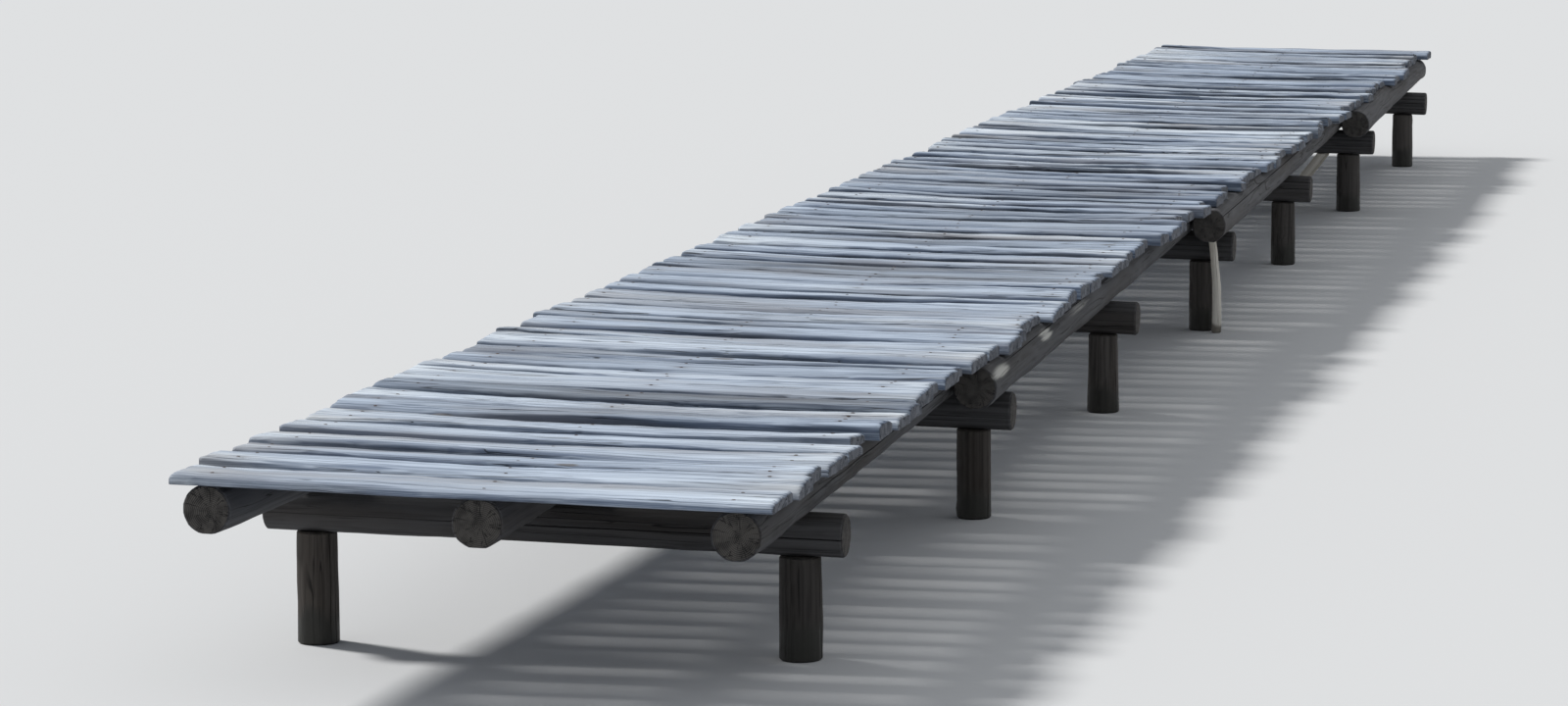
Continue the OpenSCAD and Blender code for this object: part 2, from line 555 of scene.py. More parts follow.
class WoodGraph(Graph):
    """The nodes of one wood finish, whose rings, fibres, splits and knots all follow the grain.

    Each scale is along the grain and twice across it, in noise cells to the metre. A split's three numbers
    are its scales along and across the grain and its width in the noise.
    """

    DRIFT = (1.3, 7.0, 7.0)
    DRIFT_BY = (0.0, 0.016, 0.016)
    RING_TURN = 1100.0
    FIBRE = (0.9, 70.0, 70.0)
    BROAD = (0.8, 5.0, 5.0)
    BAND = (0.45, 21.0, 21.0)
    PATCH = (3.0, 24.0, 24.0)
    KNOT = (1.6, 4.5, 4.5)
    RAY = (3.2, 3.2, 3.2)
    DAMP = (9.0, 9.0, 3.0)
    SPLITS = ((0.5, 17.0, 0.010), (0.9, 46.0, 0.016))
    SUNNED = (1.12, 1.05, 0.95, 1.0)
    SPECULAR = 0.3
    BUMP = 0.9

    def __init__(self, finish: WoodFinish) -> None:
        """Draws the patterns that the finish is made of, on grain coordinates that drift slowly sideways.

        Args:
            finish: The finish.
        """
        super().__init__(bpy.data.materials.new(finish.name))
        self.finish = finish
        straight = self.value_of("grain", "Vector")
        drift = self.add("TexNoise", {"Vector": self.scaled(straight, self.DRIFT), "Scale": 1.0,
                                      "Detail": 2.0}, 1)
        aside = self.scaled(drift, self.DRIFT_BY)
        self.bent = self.add("VectorMath", {0: straight, 1: aside}, operation="ADD")
        split = self.add("SeparateXYZ", {0: self.bent})
        self.across = [split.output(1), split.output(2)]
        self.from_pith = self.math("SQRT", self.across[0] * self.across[0] + self.across[1] * self.across[1])
        self.rings = self.math("SINE", self.from_pith * self.RING_TURN) * 0.5 + 0.5
        self.fibre = self.noise(self.bent, self.FIBRE, 5.0, 0.66)
        self.broad = self.noise(self.bent, self.BROAD)
        self.band = self.noise(self.bent, self.BAND, 2.0)
        self.patchy = self.ramp(self.noise(self.bent, self.PATCH, 4.0), 0.30, 0.62)
        self.edge = self.value_of("edge")

    def finished(self) -> bpy.types.Material:
        """Puts the open face, the cut ends, the splits and the wet foot together.

        Returns:
            The material.
        """
        look = self.finish
        cut, rays = self._end_grain()
        crack = self._splits() * (1.0 - cut) + rays * cut
        face = self._soiled_shaded_and_lit(self._knotty(self._weathered()))
        butt = self.mix(self.rings * 0.45 + self.patchy * 0.4, look.grime_and_shade, look.end)
        colour = self.mix(crack * 0.85, self.mix(cut, face, butt), look.grime_and_shade)
        rough = self.fibre * 0.2 + 0.72
        if look.wet_to > 0.0:
            soaked = self._soaked()
            colour = self.mix(soaked * 0.85, colour, look.wet)
            rough = rough - soaked * 0.35
        height = self.rings * 0.3 + self.fibre * 0.9 - crack * 1.3
        bump = self.add("Bump", {"Strength": self.BUMP, "Distance": look.relief, "Height": height})
        return self.close("BsdfPrincipled", {"Base Color": colour, "Roughness": rough, "Normal": bump,
                                             "Specular IOR Level": self.SPECULAR})

    def _weathered(self) -> Field:
        """Colours the open face.

        Returns:
            Light and dark fibres, with warmer streaks, as bright as the mesh's tone says.
        """
        look = self.finish
        shade = self.fibre * 0.66 + self.band * 0.34 + (self.rings - 0.5) * 0.08 - self.edge * 0.22
        colour = self.mix(self.ramp(shade, 0.27, 0.60), look.dark, look.light)
        colour = self.mix(self.ramp(self.broad, 0.46, 0.70) * look.warmth, colour, look.warm)
        tone = self.value_of("tone")
        lift = (tone - 0.5) * (look.tone_spread * 2) + 1.0
        lift = lift + (self.broad - 0.5) * (-look.tone_spread * 2.5)
        colour = self.mix(1.0, colour, self.add("CombineXYZ", {0: lift, 1: lift, 2: lift}), "MULTIPLY")
        return self.mix(self.ramp(tone, 0.45, 1.25), colour, self.SUNNED, "MULTIPLY")

    def _knotty(self, colour: Field) -> Field:
        """Adds knots: a little over half of the cells of a stretched cell pattern hold one.

        Args:
            colour: The colour without knots.

        Returns:
            The colour with them.
        """
        stretched = self.scaled(self.bent, self.KNOT)
        cells = self.add("TexVoronoi", {"Vector": stretched, "Scale": 1.0}, "Distance")
        draw = self.add("SeparateColor", {0: cells.output("Color")})
        knot = self.ramp(cells, 0.05, 0.085, 1.0, 0.0) * self.math("GREATER_THAN", draw, 0.45)
        colour = self.mix(knot * 0.75, colour, self.finish.warm)
        return self.mix(knot * self.ramp(self.rings, 0.3, 0.9), colour, self.finish.grime_and_shade)

    def _soiled_shaded_and_lit(self, colour: Field) -> Field:
        """Adds dirt at the edges, which clean fibres stand out of, painted shade at the boards' joints, the
        stain of nails, and on a stringer pale patches of painted light.

        Args:
            colour: The clean colour.

        Returns:
            The soiled colour.
        """
        look = self.finish
        dirt_and_shade = self.ramp((self.patchy - 0.5) * -0.25 + self.edge, 0.45, 0.95)
        between = self.ramp(self.fibre, 0.40, 0.66, look.grime_and_shade_amount, look.grime_and_shade_amount - 0.38)
        packed = self.ramp(self.edge, 0.80, 1.0, 0.0, look.grime_and_shade_amount)
        colour = self.mix(self.math("MAXIMUM", dirt_and_shade * between, packed), colour, look.grime_and_shade)
        stain = self.value_of("stain") * self.ramp(self.fibre, 0.25, 0.6, 0.35, 1.0)
        return self.mix(self.ramp(stain, look.stain_and_light_from, 1.0, 0.0, 0.75), colour, look.stain)

    def _soaked(self) -> Field:
        """Tells the wet foot of a pole.

        Returns:
            1 below an uneven line, 0 above it.
        """
        top = self.finish.wet_to
        place = self.place()
        height = self.add("SeparateXYZ", {0: place}, 2) + (self.noise(place, self.DAMP) - 0.5) * top
        return self.ramp(height, top * 0.55, top, 1.0, 0.0)

    def _splits(self) -> Field:
        """Hairline splits along the grain, in patches.

        A split is where a stretched noise passes through its middle value, and a broader noise says where.

        Returns:
            1 in a split, 0 beside it.
        """
        parts = []
        for along, across, width in self.SPLITS:
            line = abs(self.noise(self.bent, (along, across, across), 1.0) - 0.5)
            patches = self.noise(self.bent, (along * 1.7, across * 0.4, across * 0.4), 1.0)
            parts.append(self.ramp(line, width * 0.25, width, 1.0, 0.0) * self.ramp(patches, 0.48, 0.60))
        return self.math("MAXIMUM", *parts)

    def _end_grain(self) -> tuple[Field, Field]:
        """Tells cut ends from sides by the way the surface faces, and draws the rays that split an end.

        Returns:
            1 on a cut end, and 1 in a ray.
        """
        normal = self.add("NewGeometry", output="True Normal")
        facing = self.add("VectorMath", {0: normal, 1: self.finish.axis}, "Value", operation="DOT_PRODUCT")
        ways = [part / (self.from_pith + 0.001) for part in self.across] + [self.from_pith * 3.0]
        line = abs(self.noise(self.add("CombineXYZ", dict(enumerate(ways))), self.RAY, 2.0) - 0.5)
        return self.ramp(abs(facing), 0.80, 0.93), self.ramp(line, 0.004, 0.018, 1.0, 0.0)


@dataclass(frozen=True)
class NailFinish:
    """Rusted nail heads, dark brown with brighter scabs."""

    name: str = "rusted_nail"
    dark: Colour = linear(44, 36, 32)
    light: Colour = linear(86, 64, 50)
    roughness: float = 0.7
    metallic: float = 0.35
    relief: float = 0.0006
    SCAB = (240.0, 240.0, 240.0)

    def material(self) -> bpy.types.Material:
        """Builds the finish.

        Returns:
            A material of two browns in fine noise, which also gives its relief.
        """
        g = Graph(bpy.data.materials.new(self.name))
        scab = g.noise(g.place(), self.SCAB, 4.0)
        colour = g.mix(g.ramp(scab, 0.35, 0.65), self.dark, self.light)
        bump = g.add("Bump", {"Strength": 0.6, "Distance": self.relief, "Height": scab})
        return g.close("BsdfPrincipled", {"Base Color": colour, "Roughness": self.roughness,
                                          "Metallic": self.metallic, "Normal": bump})


class Finishes:
    """The jetty's finishes, one material for each slot of the record and one for the nails."""

    WOODS = {
        Slot.BOARD: WoodFinish(
            "weathered_board", light=linear(191, 205, 223), dark=linear(104, 118, 141),
            warm=linear(152, 148, 147), grime_and_shade=linear(38, 43, 51), end=linear(134, 138, 147),
            axis=(1.0, 0.0, 0.0), tone_spread=0.28, warmth=0.36, grime_and_shade_amount=0.92),
        # The stringers, caps and piles are much darker than the boards: partly damp, weathered wood, partly
        # painted shade of the deck above them.
        Slot.STRINGER: WoodFinish(
            "weathered_stringer", light=linear(77, 78, 82), dark=linear(38, 38, 41), warm=linear(60, 54, 49),
            grime_and_shade=linear(20, 20, 21), end=linear(94, 91, 88), axis=(0.0, 1.0, 0.0), relief=0.002,
            # Painted light: the near-white colour of the sunlit patches painted on the stringer's right
            # flank.
            stain_and_light_from=0.35, stain=linear(214, 214, 208)),
        Slot.CAP: WoodFinish(
            "weathered_cap", light=linear(74, 74, 76), dark=linear(36, 36, 38), warm=linear(59, 52, 46),
            grime_and_shade=linear(20, 19, 20), end=linear(88, 84, 81), axis=(1.0, 0.0, 0.0), relief=0.002),
        Slot.PILE: WoodFinish(
            "damp_pile", light=linear(78, 75, 73), dark=linear(38, 36, 35), warm=linear(60, 52, 44),
            grime_and_shade=linear(20, 19, 18), end=linear(84, 79, 73), axis=(0.0, 0.0, 1.0), relief=0.0022,
            wet_to=0.13, wet=linear(33, 34, 30)),
        Slot.POLE: WoodFinish(
            "peeled_pole", light=linear(226, 225, 219), dark=linear(182, 178, 170),
            warm=linear(184, 166, 142), grime_and_shade=linear(92, 86, 78), end=linear(170, 160, 146),
            axis=(0.0, 0.0, 1.0), tone_spread=0.1, wet_to=0.05, wet=linear(96, 90, 80)),
    }

    def __init__(self) -> None:
        """Builds every material."""
        self.wood = {slot: finish.material() for slot, finish in self.WOODS.items()}
        self.nail = NailFinish().material()

    def dress(self, surface: Surface, name: str, node: bpy.types.Object, slot: Slot) -> bpy.types.Object:
        """Makes a wooden surface the piece that stands for a node.

        Args:
            surface: The surface.
            name: Name of the piece.
            node: The node that it replaces.
            slot: Its material slot.

        Returns:
            The piece.
        """
        piece = surface.piece(name, self.wood[slot])
        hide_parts(node.name)
        return piece


@dataclass(frozen=True)
class Joint:
    """A joint that shows as a heavy dark line: one board's near edge stands over the far edge before it, and
    the wanes there carry painted shade as well as dirt.
    """

    y: float
    x: float
    weight: float
    half: float = 0.62


@dataclass(frozen=True)
class Seam:
    """How one edge of a board is moved to show its joint: by an even step, and one more if heavy."""

    even: float = 0.0
    heavy: float = 0.0
    joint: Joint | None = None

    def strength(self, x: Array) -> Array:
        """How heavy the joint is at places across the deck: a bell about its middle."""
        joint = self.joint
        return 0 * x if joint is None else joint.weight * bell((x - joint.x) / joint.half)

    def step(self, x: Array) -> Array:
        """How far the edge is moved at places across the deck."""
        return self.even + self.heavy * self.strength(x)


@dataclass(frozen=True)
class Check:
    """A drying check along a board: its middle and half length, its half width and its depth."""

    middle: float
    half: float
    half_width: float
    depth: float


@dataclass
class Board:
    """One cross board: a rough slab with waney edges, checks and split ends, inside its own block.

    Places along it, from its left end, and across it, from its near edge, are shares from 0 to 1. A mark is
    given by its place across and along the deck and by its half sizes both ways, a worn arris by its depth
    and its reach, the dirt and the bleaching of an end by their strength and their reach, and rust by its
    reach along and across the grain.
    """

    block: Block
    rng: np.random.Generator
    near: Seam = Seam()
    far: Seam = Seam()
    sag: float = 0.0
    low_top: float = 0.003
    wane_low: float = 0.016
    wane_high: float = 0.054
    heavy_wane: float = 0.008
    heavy_drop: tuple[float, float] = (0.026, 0.022)
    # Dirt on the near and the far wane: partly real dirt, partly painted shade between the boards.
    edge_dirt_and_shade: tuple[float, float] = (0.68, 0.60)
    under_dirt: float = 0.75
    under_arris: tuple[float, float] = (0.003, 0.006)
    end_arris: tuple[float, float] = (0.006, 0.012)
    end_dirt: tuple[float, float] = (0.8, 0.010)
    end_bleach: tuple[float, float] = (0.28, 0.16)
    trodden: float = 0.10
    rust: tuple[float, float] = (0.035, 0.011)
    dish: float = 0.006
    tucked: float = 0.012
    tuck_fade: float = 0.05
    thinnest: float = 0.006
    sprung: float = 0.3
    wane_room: float = 0.004
    least_opening: float = 0.0009
    station_step: float = 0.034
    inner_columns: int = 7
    END_ROUND = (0.0, 0.0025, 0.007)
    END_INNER = 0.014
    WANE_TURNS = np.radians([0.0, 20.0, 40.0, 58.0, 75.0, 90.0])
    SHORE = (-3.0, -6.0)
    PATCH_SEED = 58
    PATCH_GROWTH = (-6.0, 3.0)
    FAR_SHEEN = (-5.0, 3.0)
    MARK = 0.75
    MARKS = ((-0.56, 0.42, 0.10, 0.05), (-0.34, 0.04, 0.13, 0.04), (-0.31, 0.68, 0.16, 0.035),
             (-0.05, -1.13, 0.12, 0.03), (0.04, -0.86, 0.10, 0.03), (0.36, 3.42, 0.035, 0.09))

    def __post_init__(self) -> None:
        """Draws everything that makes this board unlike the next."""
        r = self.rng
        self.length = self.block.right - self.block.left
        self.width = (sum(self.block.far) - sum(self.block.near)) / 2
        self.thick = self.block.top - self.block.bottom - self.low_top
        self.crown = r.uniform(-0.001, 0.007)
        self.lift = (0.004 + r.exponential(0.003, 2)).clip(0, 0.013)
        self.roll = r.uniform(-0.005, 0.005)
        self.drop = r.uniform(0.013, 0.021, 2)
        self.twist = r.uniform(-0.007, 0.007)
        self.tone = float(r.beta(1.6, 1.6) - 0.45 * (r.random() < 0.16))
        self.skew = r.uniform(-0.010, 0.010, 2)
        self.pith = (r.uniform(-0.4, 0.4) * self.width, r.uniform(-0.16, -0.05))
        self.offset = r.uniform(0, 60)
        self.checks = self._draw_checks(int(r.integers(2, 5)))

    def _draw_checks(self, count: int) -> dict[int, Check]:
        """Draws the checks.

        Args:
            count: How many.

        Returns:
            The number of the inner column just before each check, and the check.
        """
        r = self.rng
        checks = {}
        for column in sorted(r.permutation(self.inner_columns - 1)[:count]):
            from_end = r.random() < 0.6
            half = r.uniform(0.10, 0.45)
            ends = [-half * 0.2, self.length + half * 0.2]
            middle = r.choice(ends) if from_end else r.uniform(0.2, self.length - 0.2)
            checks[int(column)] = Check(middle, half, r.uniform(0.0009, 0.0026), r.uniform(0.005, 0.014))
        return checks

    def _noise_source(self, digit: int) -> np.random.Generator:
        """Random numbers that are the same each time the same thing is asked of this board."""
        return np.random.default_rng(int(self.offset * 10 ** digit))

    def _x(self, s: Array) -> Array:
        """Places across the deck at places along the board."""
        return self.block.left + s * self.length

    def stations(self) -> Array:
        """Lays out the rows of points along the board.

        Returns:
            Their places, closer at both ends, where the arris is worn round.
        """
        count = max(int(self.length / self.station_step), 12)
        inner = np.linspace(self.END_INNER, 1 - self.END_INNER, count)
        return np.concatenate([self.END_ROUND, inner, 1 - np.array(self.END_ROUND[::-1])])

    def edges(self, s: Array) -> tuple[Array, Array]:
        """The board's two edges: straight lines with an inward wobble.

        Args:
            s: Places along the board.

        Returns:
            The near and the far edge.
        """
        rng = self._noise_source(4)
        x = s * self.length
        out = []
        for ends, inward in ((self.block.near, 1.0), (self.block.far, -1.0)):
            wobble = 0.004 + 0.0045 * waves(rng, 0.25, 1.6, x) + 0.0015 * waves(rng, 0.06, 0.2, x)
            out.append(ends[0] + (ends[1] - ends[0]) * s + inward * wobble.clip(0, 0.018))
        return out[0], out[1]

    def rise(self, s: Array, t: Array) -> Array:
        """How far the board is raised off its seat.

        Each end is raised by its own lift, one edge by a little roll, and the near edge by its seam's step.

        Args:
            s: Places along the board.
            t: Places across the board.

        Returns:
            The rise.
        """
        left, right = self.lift
        ends = left * (1 - s) ** 2 + right * s ** 2
        edge = self.near.step(self._x(s)) * (1 - t).clip(0, 1) ** 1.5
        return ends + np.maximum(self.roll * (2 * t - 1), 0.0) + edge

    def top(self, s: Array, t: Array) -> Array:
        """Height of the upper face without its checks.

        It is the board's thickness with a crown across, a dish worn along the middle of the deck, shallow
        hollows, a warp that tips the face one way at one end and the other way at the other, the rise, and
        the fall of the far edge by its seam's step.

        Args:
            s: Places along the board.
            t: Places across the board.

        Returns:
            The height in the leaning frame.
        """
        rng = self._noise_source(5)
        x, y = s * self.length, t * self.width
        hollow = 0.0011 * waves(rng, 0.05, 0.25, x * 0.5, y * 2.2) + 0.0016 * waves(rng, 0.4, 1.5, x)
        crown = self.crown * ((1 - (2 * t - 1) ** 2) - 0.75)
        worn = self.dish * np.sin(math.pi * s) ** 1.5
        warp = (self.twist * (2 * s - 1) + 0.0028 * waves(rng, 0.7, 2.4, x, count=3)) * (2 * t - 1)
        fall = self.far.step(self._x(s)) * t.clip(0, 1) ** 1.5
        seat = self.block.bottom + self.thick - 0.002 - self.sag
        return seat + crown + hollow + warp - worn - fall + self.rise(s, t)

    def _wanes(self, s: Array, rng: np.random.Generator) -> tuple[list[Array], list[Array], list[Array]]:
        """Sizes the rounded edges: steeper at a heavy joint and darker there by dirt and painted shade, and
        less dark near the shore.

        Args:
            s: Stations, as a column.
            rng: Source of the random numbers.

        Returns:
            Width, depth and dirt, each of the near and of the far wane.
        """
        x = s * self.length
        joint = [seam.strength(self._x(s)) for seam in (self.near, self.far)]
        play = [(0.5 + 0.5 * waves(rng, 0.3, 2.0, x)).clip(0, 1) for _ in joint]
        wane = [self.wane_low + (self.wane_high - self.wane_low) * p for p in play]
        wane[0] = wane[0] + (self.heavy_wane - wane[0]) * joint[0]
        deep = [drop * (0.55 + 0.45 * p) for drop, p in zip(self.drop, play)]
        deep = [own + (heavy - own) * j for own, heavy, j in zip(deep, self.heavy_drop, joint)]
        fainter_near_shore = 1 - 0.25 * self._shore(self.block.near[0])
        # Painted shade as well as dirt: the wanes grow darker towards a heavy joint, where the step's shaded
        # line falls.
        dirt_and_shade = [(own + (1 - own) * j) * fainter_near_shore for own, j in zip(self.edge_dirt_and_shade, joint)]
        return wane, deep, dirt_and_shade

    def _columns(self, s: Array) -> tuple[Array, Array, Array]:
        """Lays out the upper face's columns at every station.

        From the near edge: an elliptic wane, the open face with a narrow V for each check, and the far wane.

        Args:
            s: Stations, as a column.

        Returns:
            Place across in metres from the near edge, depth below the upper face, and closeness to an edge.
        """
        rng = self._noise_source(3)
        near, far = self.edges(s)
        x = s * self.length
        wane, deep, dirt_and_shade = self._wanes(s, rng)
        inner = np.linspace(0, 1, self.inner_columns + 2)[1:-1]
        half_pitch = (inner[1] - inner[0]) / 2
        open_from, open_to = wane[0] + self.wane_room, far - near - wane[1] - self.wane_room
        turns, back = self.WANE_TURNS, self.WANE_TURNS[::-1]
        across = [wane[0] * (1 - np.cos(turns))]
        depth = [deep[0] * (1 - np.sin(turns))]
        edge = [dirt_and_shade[0] * (1 - 0.5 * np.sin(turns) ** 2)]
        for k, place in enumerate(inner):
            across.append(open_from + (open_to - open_from) * place)
            depth.append(0 * s)
            edge.append(0 * s + 0.4 * abs(2 * place - 1) ** 2)
            if k in self.checks:
                check = self.checks[k]
                strength = half_ellipse(x, check.middle, check.half)
                centre = open_from + (open_to - open_from) * (place + half_pitch)
                centre = centre + 0.003 * waves(rng, 0.3, 1.2, x)
                opening = self.least_opening + check.half_width * strength
                across += [centre - opening, centre, centre + opening]
                depth += [0 * s, check.depth * strength, 0 * s]
                edge += [0.3 * strength, strength, 0.3 * strength]
        across.append(far - near - wane[1] * (1 - np.cos(back)))
        depth.append(deep[1] * (1 - np.sin(back)))
        edge.append(dirt_and_shade[1] * (1 - 0.5 * np.sin(back) ** 2))
        return np.concatenate(across, 1), np.concatenate(depth, 1), np.concatenate(edge, 1)

    @staticmethod
    def _shore(y: Array | float) -> Array:
        """Closeness to the shore: 0 from 3 m short of the middle on, 1 from 6 m on towards the shore."""
        return ramp(y, *Board.SHORE)

    def _patches(self, x: Array, y: Array) -> Array:
        """Darker and lighter places that run over several boards.

        They are waves that grow towards the far end. The boards near the shore are paler, and the boards
        towards the far end are paler still, as a painted sheen of the sky.

        Args:
            x: Places across the deck.
            y: Places along the deck.

        Returns:
            What they add to the tone.
        """
        spots = waves(np.random.default_rng(self.PATCH_SEED), 0.55, 1.5, x * 0.45, y, 12)
        growth = 0.25 + 0.75 * ramp(y, *self.PATCH_GROWTH)
        # The last term is a painted sheen: it makes the boards paler from the middle towards the far end.
        return 0.34 * growth * spots + 0.03 * self._shore(y) + 0.30 * ramp(y, *self.FAR_SHEEN)

    def _marks(self, x: Array, y: Array) -> Array:
        """Closeness to the few dark marks trodden into the deck.

        Args:
            x: Places across the deck.
            y: Places along the deck.

        Returns:
            The highest of the bells round the marks.
        """
        bells = [bell((x - at_x) / half_x, (y - at_y) / half_y) for at_x, at_y, half_x, half_y in self.MARKS]
        return self.MARK * np.max(bells, axis=0)

    def surface(self, frame: LeaningFrame, nails: Array) -> Surface:
        """Builds the board.

        The upper face is a grid of stations along and columns across. The underside is the same grid laid
        flat, and both close along the edges and across the two ends.

        Args:
            frame: The leaning frame.
            nails: Places of its nails in the leaning frame, for the rust around them.

        Returns:
            The board, in the row frame.
        """
        s = self.stations()[:, None]
        across, depth, edge = self._columns(s)
        near, far = self.edges(s)
        t = across / (far - near)
        from_end = np.minimum(s, 1 - s) * self.length
        rng = self._noise_source(2)
        pull = []
        for k, part in enumerate((s, 1 - s)):
            tip = self.skew[k] * (t - 0.5) + 0.0025 * waves(rng, 0.012, 0.06, across, 7 * k)
            pull.append((self.tucked - np.abs(tip)) * np.exp(-part * self.length / self.tuck_fade))
        x = self._x(s) + pull[0] - pull[1]
        y = near + across
        from_edge = np.minimum(across, far - near - across)
        under_edge = self.under_arris[0] * ramp(from_edge, self.under_arris[1], 0)
        seat = self.block.bottom + self.sprung * self.rise(s, t) + under_edge
        worn = self.end_arris[0] * ramp(from_end, self.end_arris[1], 0) ** 2
        upper = np.stack([x, y, np.maximum(self.top(s, t) - depth - worn, seat + self.thinnest)], -1)
        ring = np.concatenate([upper, np.stack([x, y, seat], -1)[:, ::-1]], 1)

        stations, around = ring.shape[:2]
        j = np.arange(t.shape[1] - 1)
        end = np.stack([j, j + 1, around - 2 - j, around - 1 - j], -1)
        faces = [tube_faces(stations, around)[:, ::-1], end, end[:, ::-1] + (stations - 1) * around]
        end_dirt = self.end_dirt[0] * np.exp(-from_end / self.end_dirt[1])
        top_edge = np.maximum(np.maximum(edge, end_dirt), self._marks(x, y))
        bleach = self.end_bleach[0] * bell(from_end / self.end_bleach[1])
        bleach = bleach - self.trodden * np.sin(math.pi * s) ** 2
        place = ring.reshape(-1, 3)
        values = {
            "grain": self._grain_at(place),
            "tone": np.tile(self.tone + bleach + self._patches(x, y), 2).ravel(),
            "edge": np.concatenate([top_edge, np.full(t.shape, self.under_dirt)], 1).ravel(),
            "stain": self._rust(place, nails),
        }
        return Surface(frame.outside(place), faces, values)

    def _grain_at(self, place: Array) -> Array:
        """Grain coordinates: along the board from its own start, and across and up from its own pith."""
        middle = (self.block.near[0] + self.block.far[0]) / 2
        return place - np.array([-self.offset, middle + self.pith[0], self.block.top + self.pith[1]])

    def _rust(self, place: Array, nails: Array) -> Array:
        """Rust that the nails bleed along the grain.

        Args:
            place: Points of the board, in the leaning frame.
            nails: The nails, in the same frame.

        Returns:
            Closeness to the nearest nail: a peak along the grain and a bell across it.
        """
        stain = np.zeros(len(place))
        for nail in nails:
            gap = np.abs(place[:, :2] - nail[:2]) / self.rust
            stain = np.maximum(stain, np.exp(-gap[:, 0] - gap[:, 1] ** 2))
        return stain


